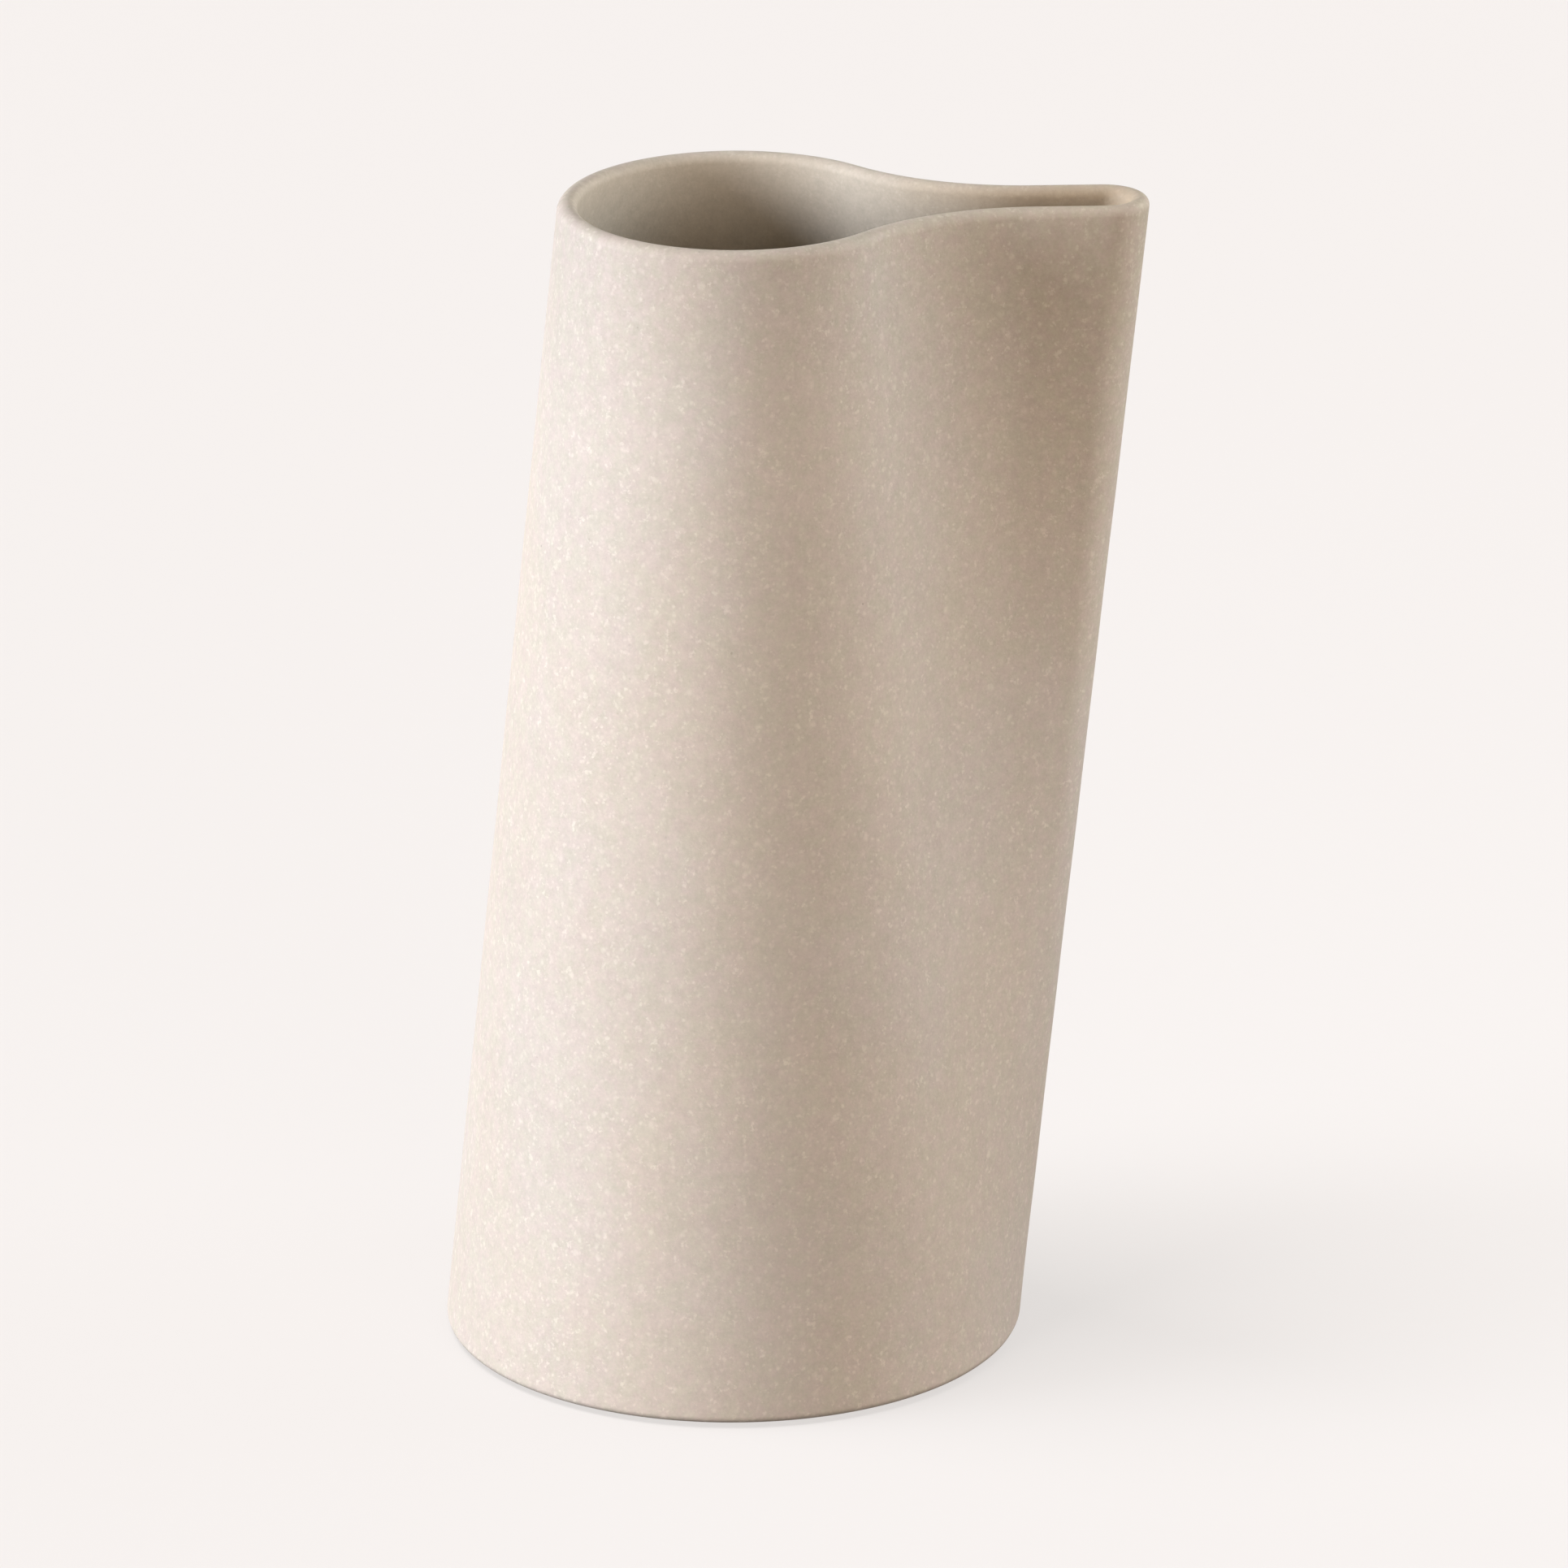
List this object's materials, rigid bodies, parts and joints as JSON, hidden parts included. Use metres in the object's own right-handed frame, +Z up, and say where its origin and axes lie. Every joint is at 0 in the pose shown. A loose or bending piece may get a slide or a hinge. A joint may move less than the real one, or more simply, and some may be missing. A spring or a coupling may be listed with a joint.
{
  "type": "leaning vase",
  "caption": "Tall leaning stoneware vase: a round base twists up into a level keyhole mouth with a narrow slot, for stems, branches or display.",
  "frame": {"origin": "middle of the round foot, on the plane that the vase rests on", "axes": "+Z up, +X towards the slot end of the mouth, which is the way the vase leans, +Y across the vase; the XZ plane is its plane of symmetry"},
  "size_m": [0.1445, 0.1194, 0.244],
  "materials": {
    "stoneware_skin": "matte",
    "bare_clay": "matte",
    "liner_glaze": "satin"
  },
  "bodies": {
    "root": {"vase_wall": "stoneware_skin", "base_slab": "bare_clay", "seam_coil": "bare_clay", "foot_ring": "bare_clay", "liner_glaze": "liner_glaze"}
  },
  "joints": []
}
